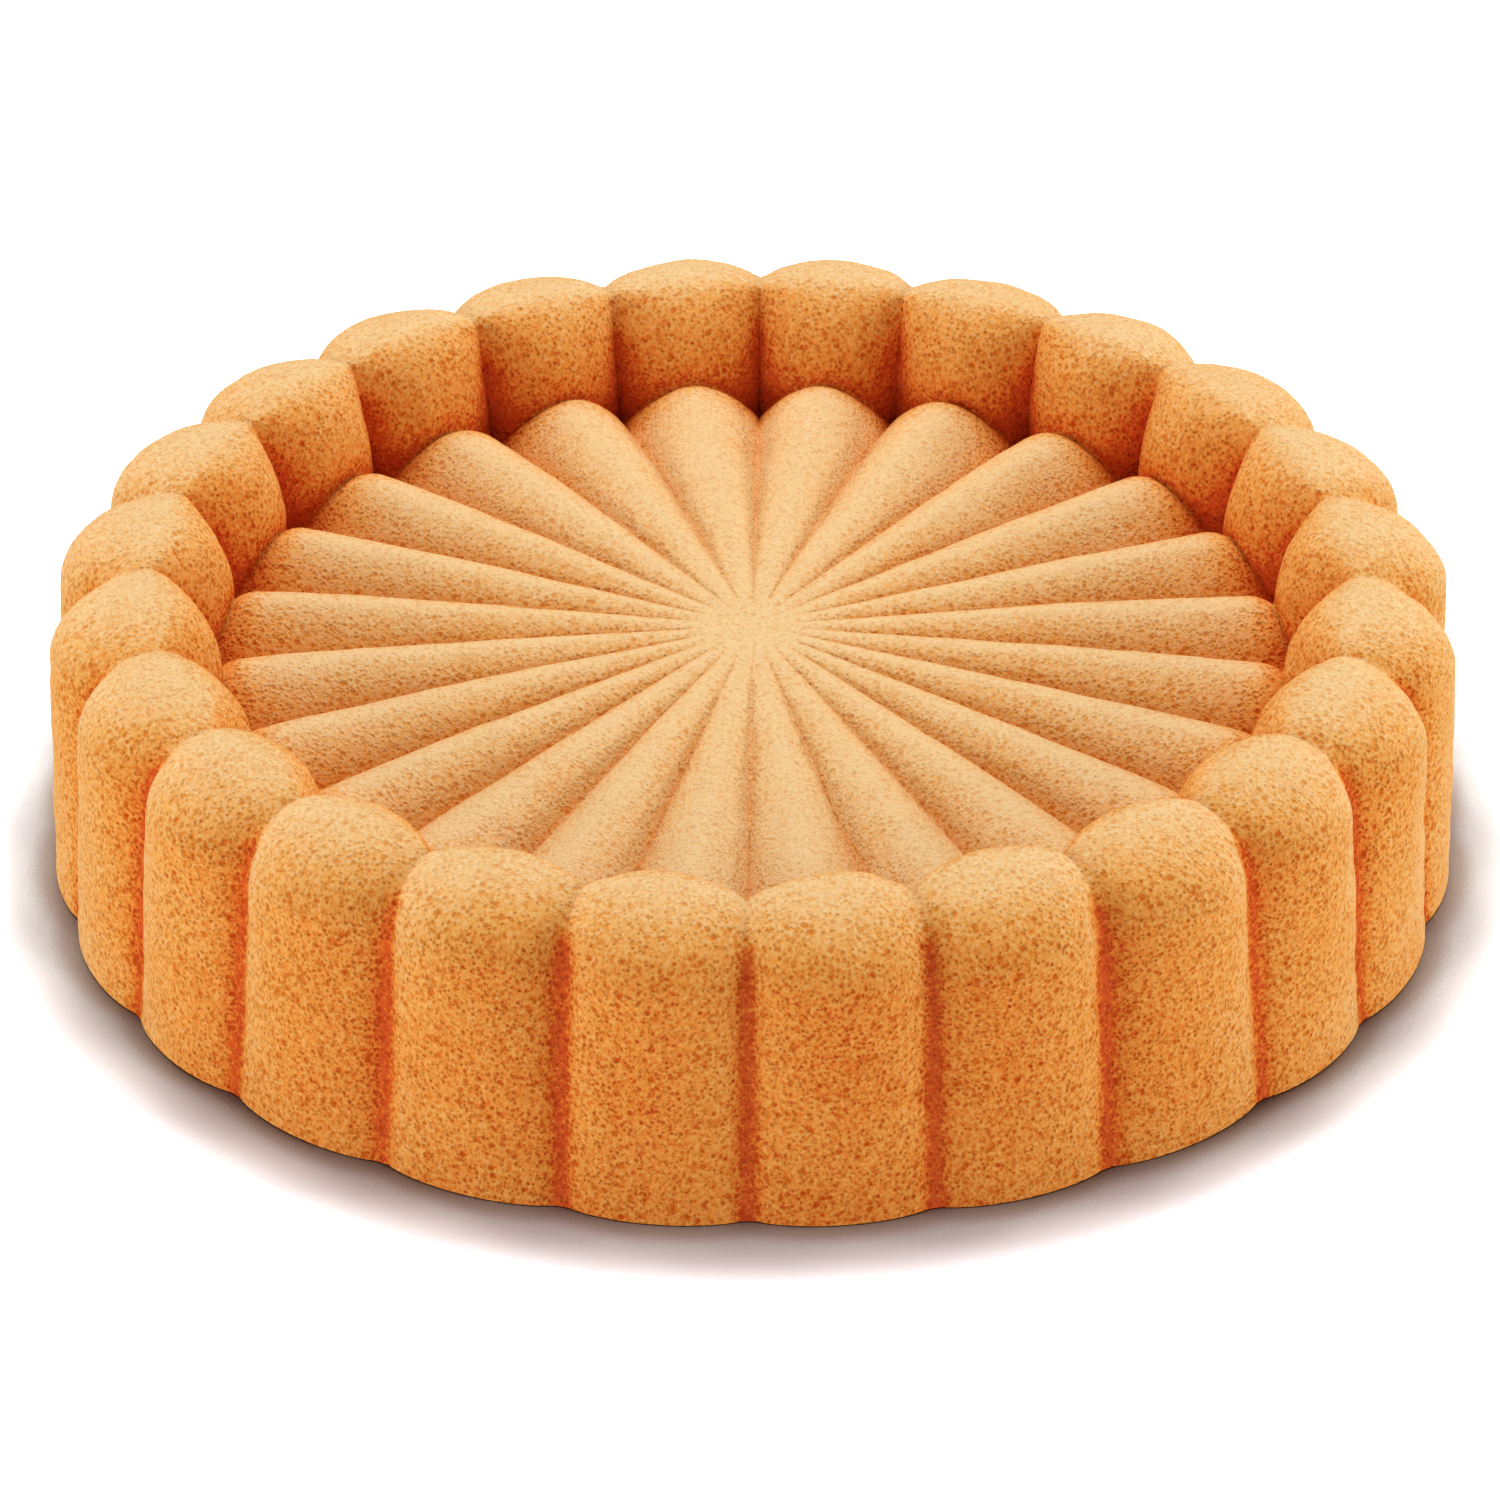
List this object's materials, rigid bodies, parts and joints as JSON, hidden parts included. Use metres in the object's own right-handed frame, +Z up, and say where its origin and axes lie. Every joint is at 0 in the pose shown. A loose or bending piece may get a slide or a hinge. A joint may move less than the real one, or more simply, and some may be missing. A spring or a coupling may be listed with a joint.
{
  "type": "fluted sponge cake",
  "caption": "Round sponge cake from a fluted mould, with an upright lobed rim around a sunken dish of radial petals, to fill or top.",
  "frame": {"origin": "middle of the flat cut underside", "axes": "+Z up through the middle of the dish; +X and +Y point at grooves between two lobes"},
  "size_m": [0.2196, 0.2196, 0.0497],
  "materials": {
    "crumb": "soft golden baked crumb with fine open pores, paler on the floor and browner in the grooves"
  },
  "bodies": {
    "root": {"sponge_cake": "crumb"}
  },
  "joints": []
}
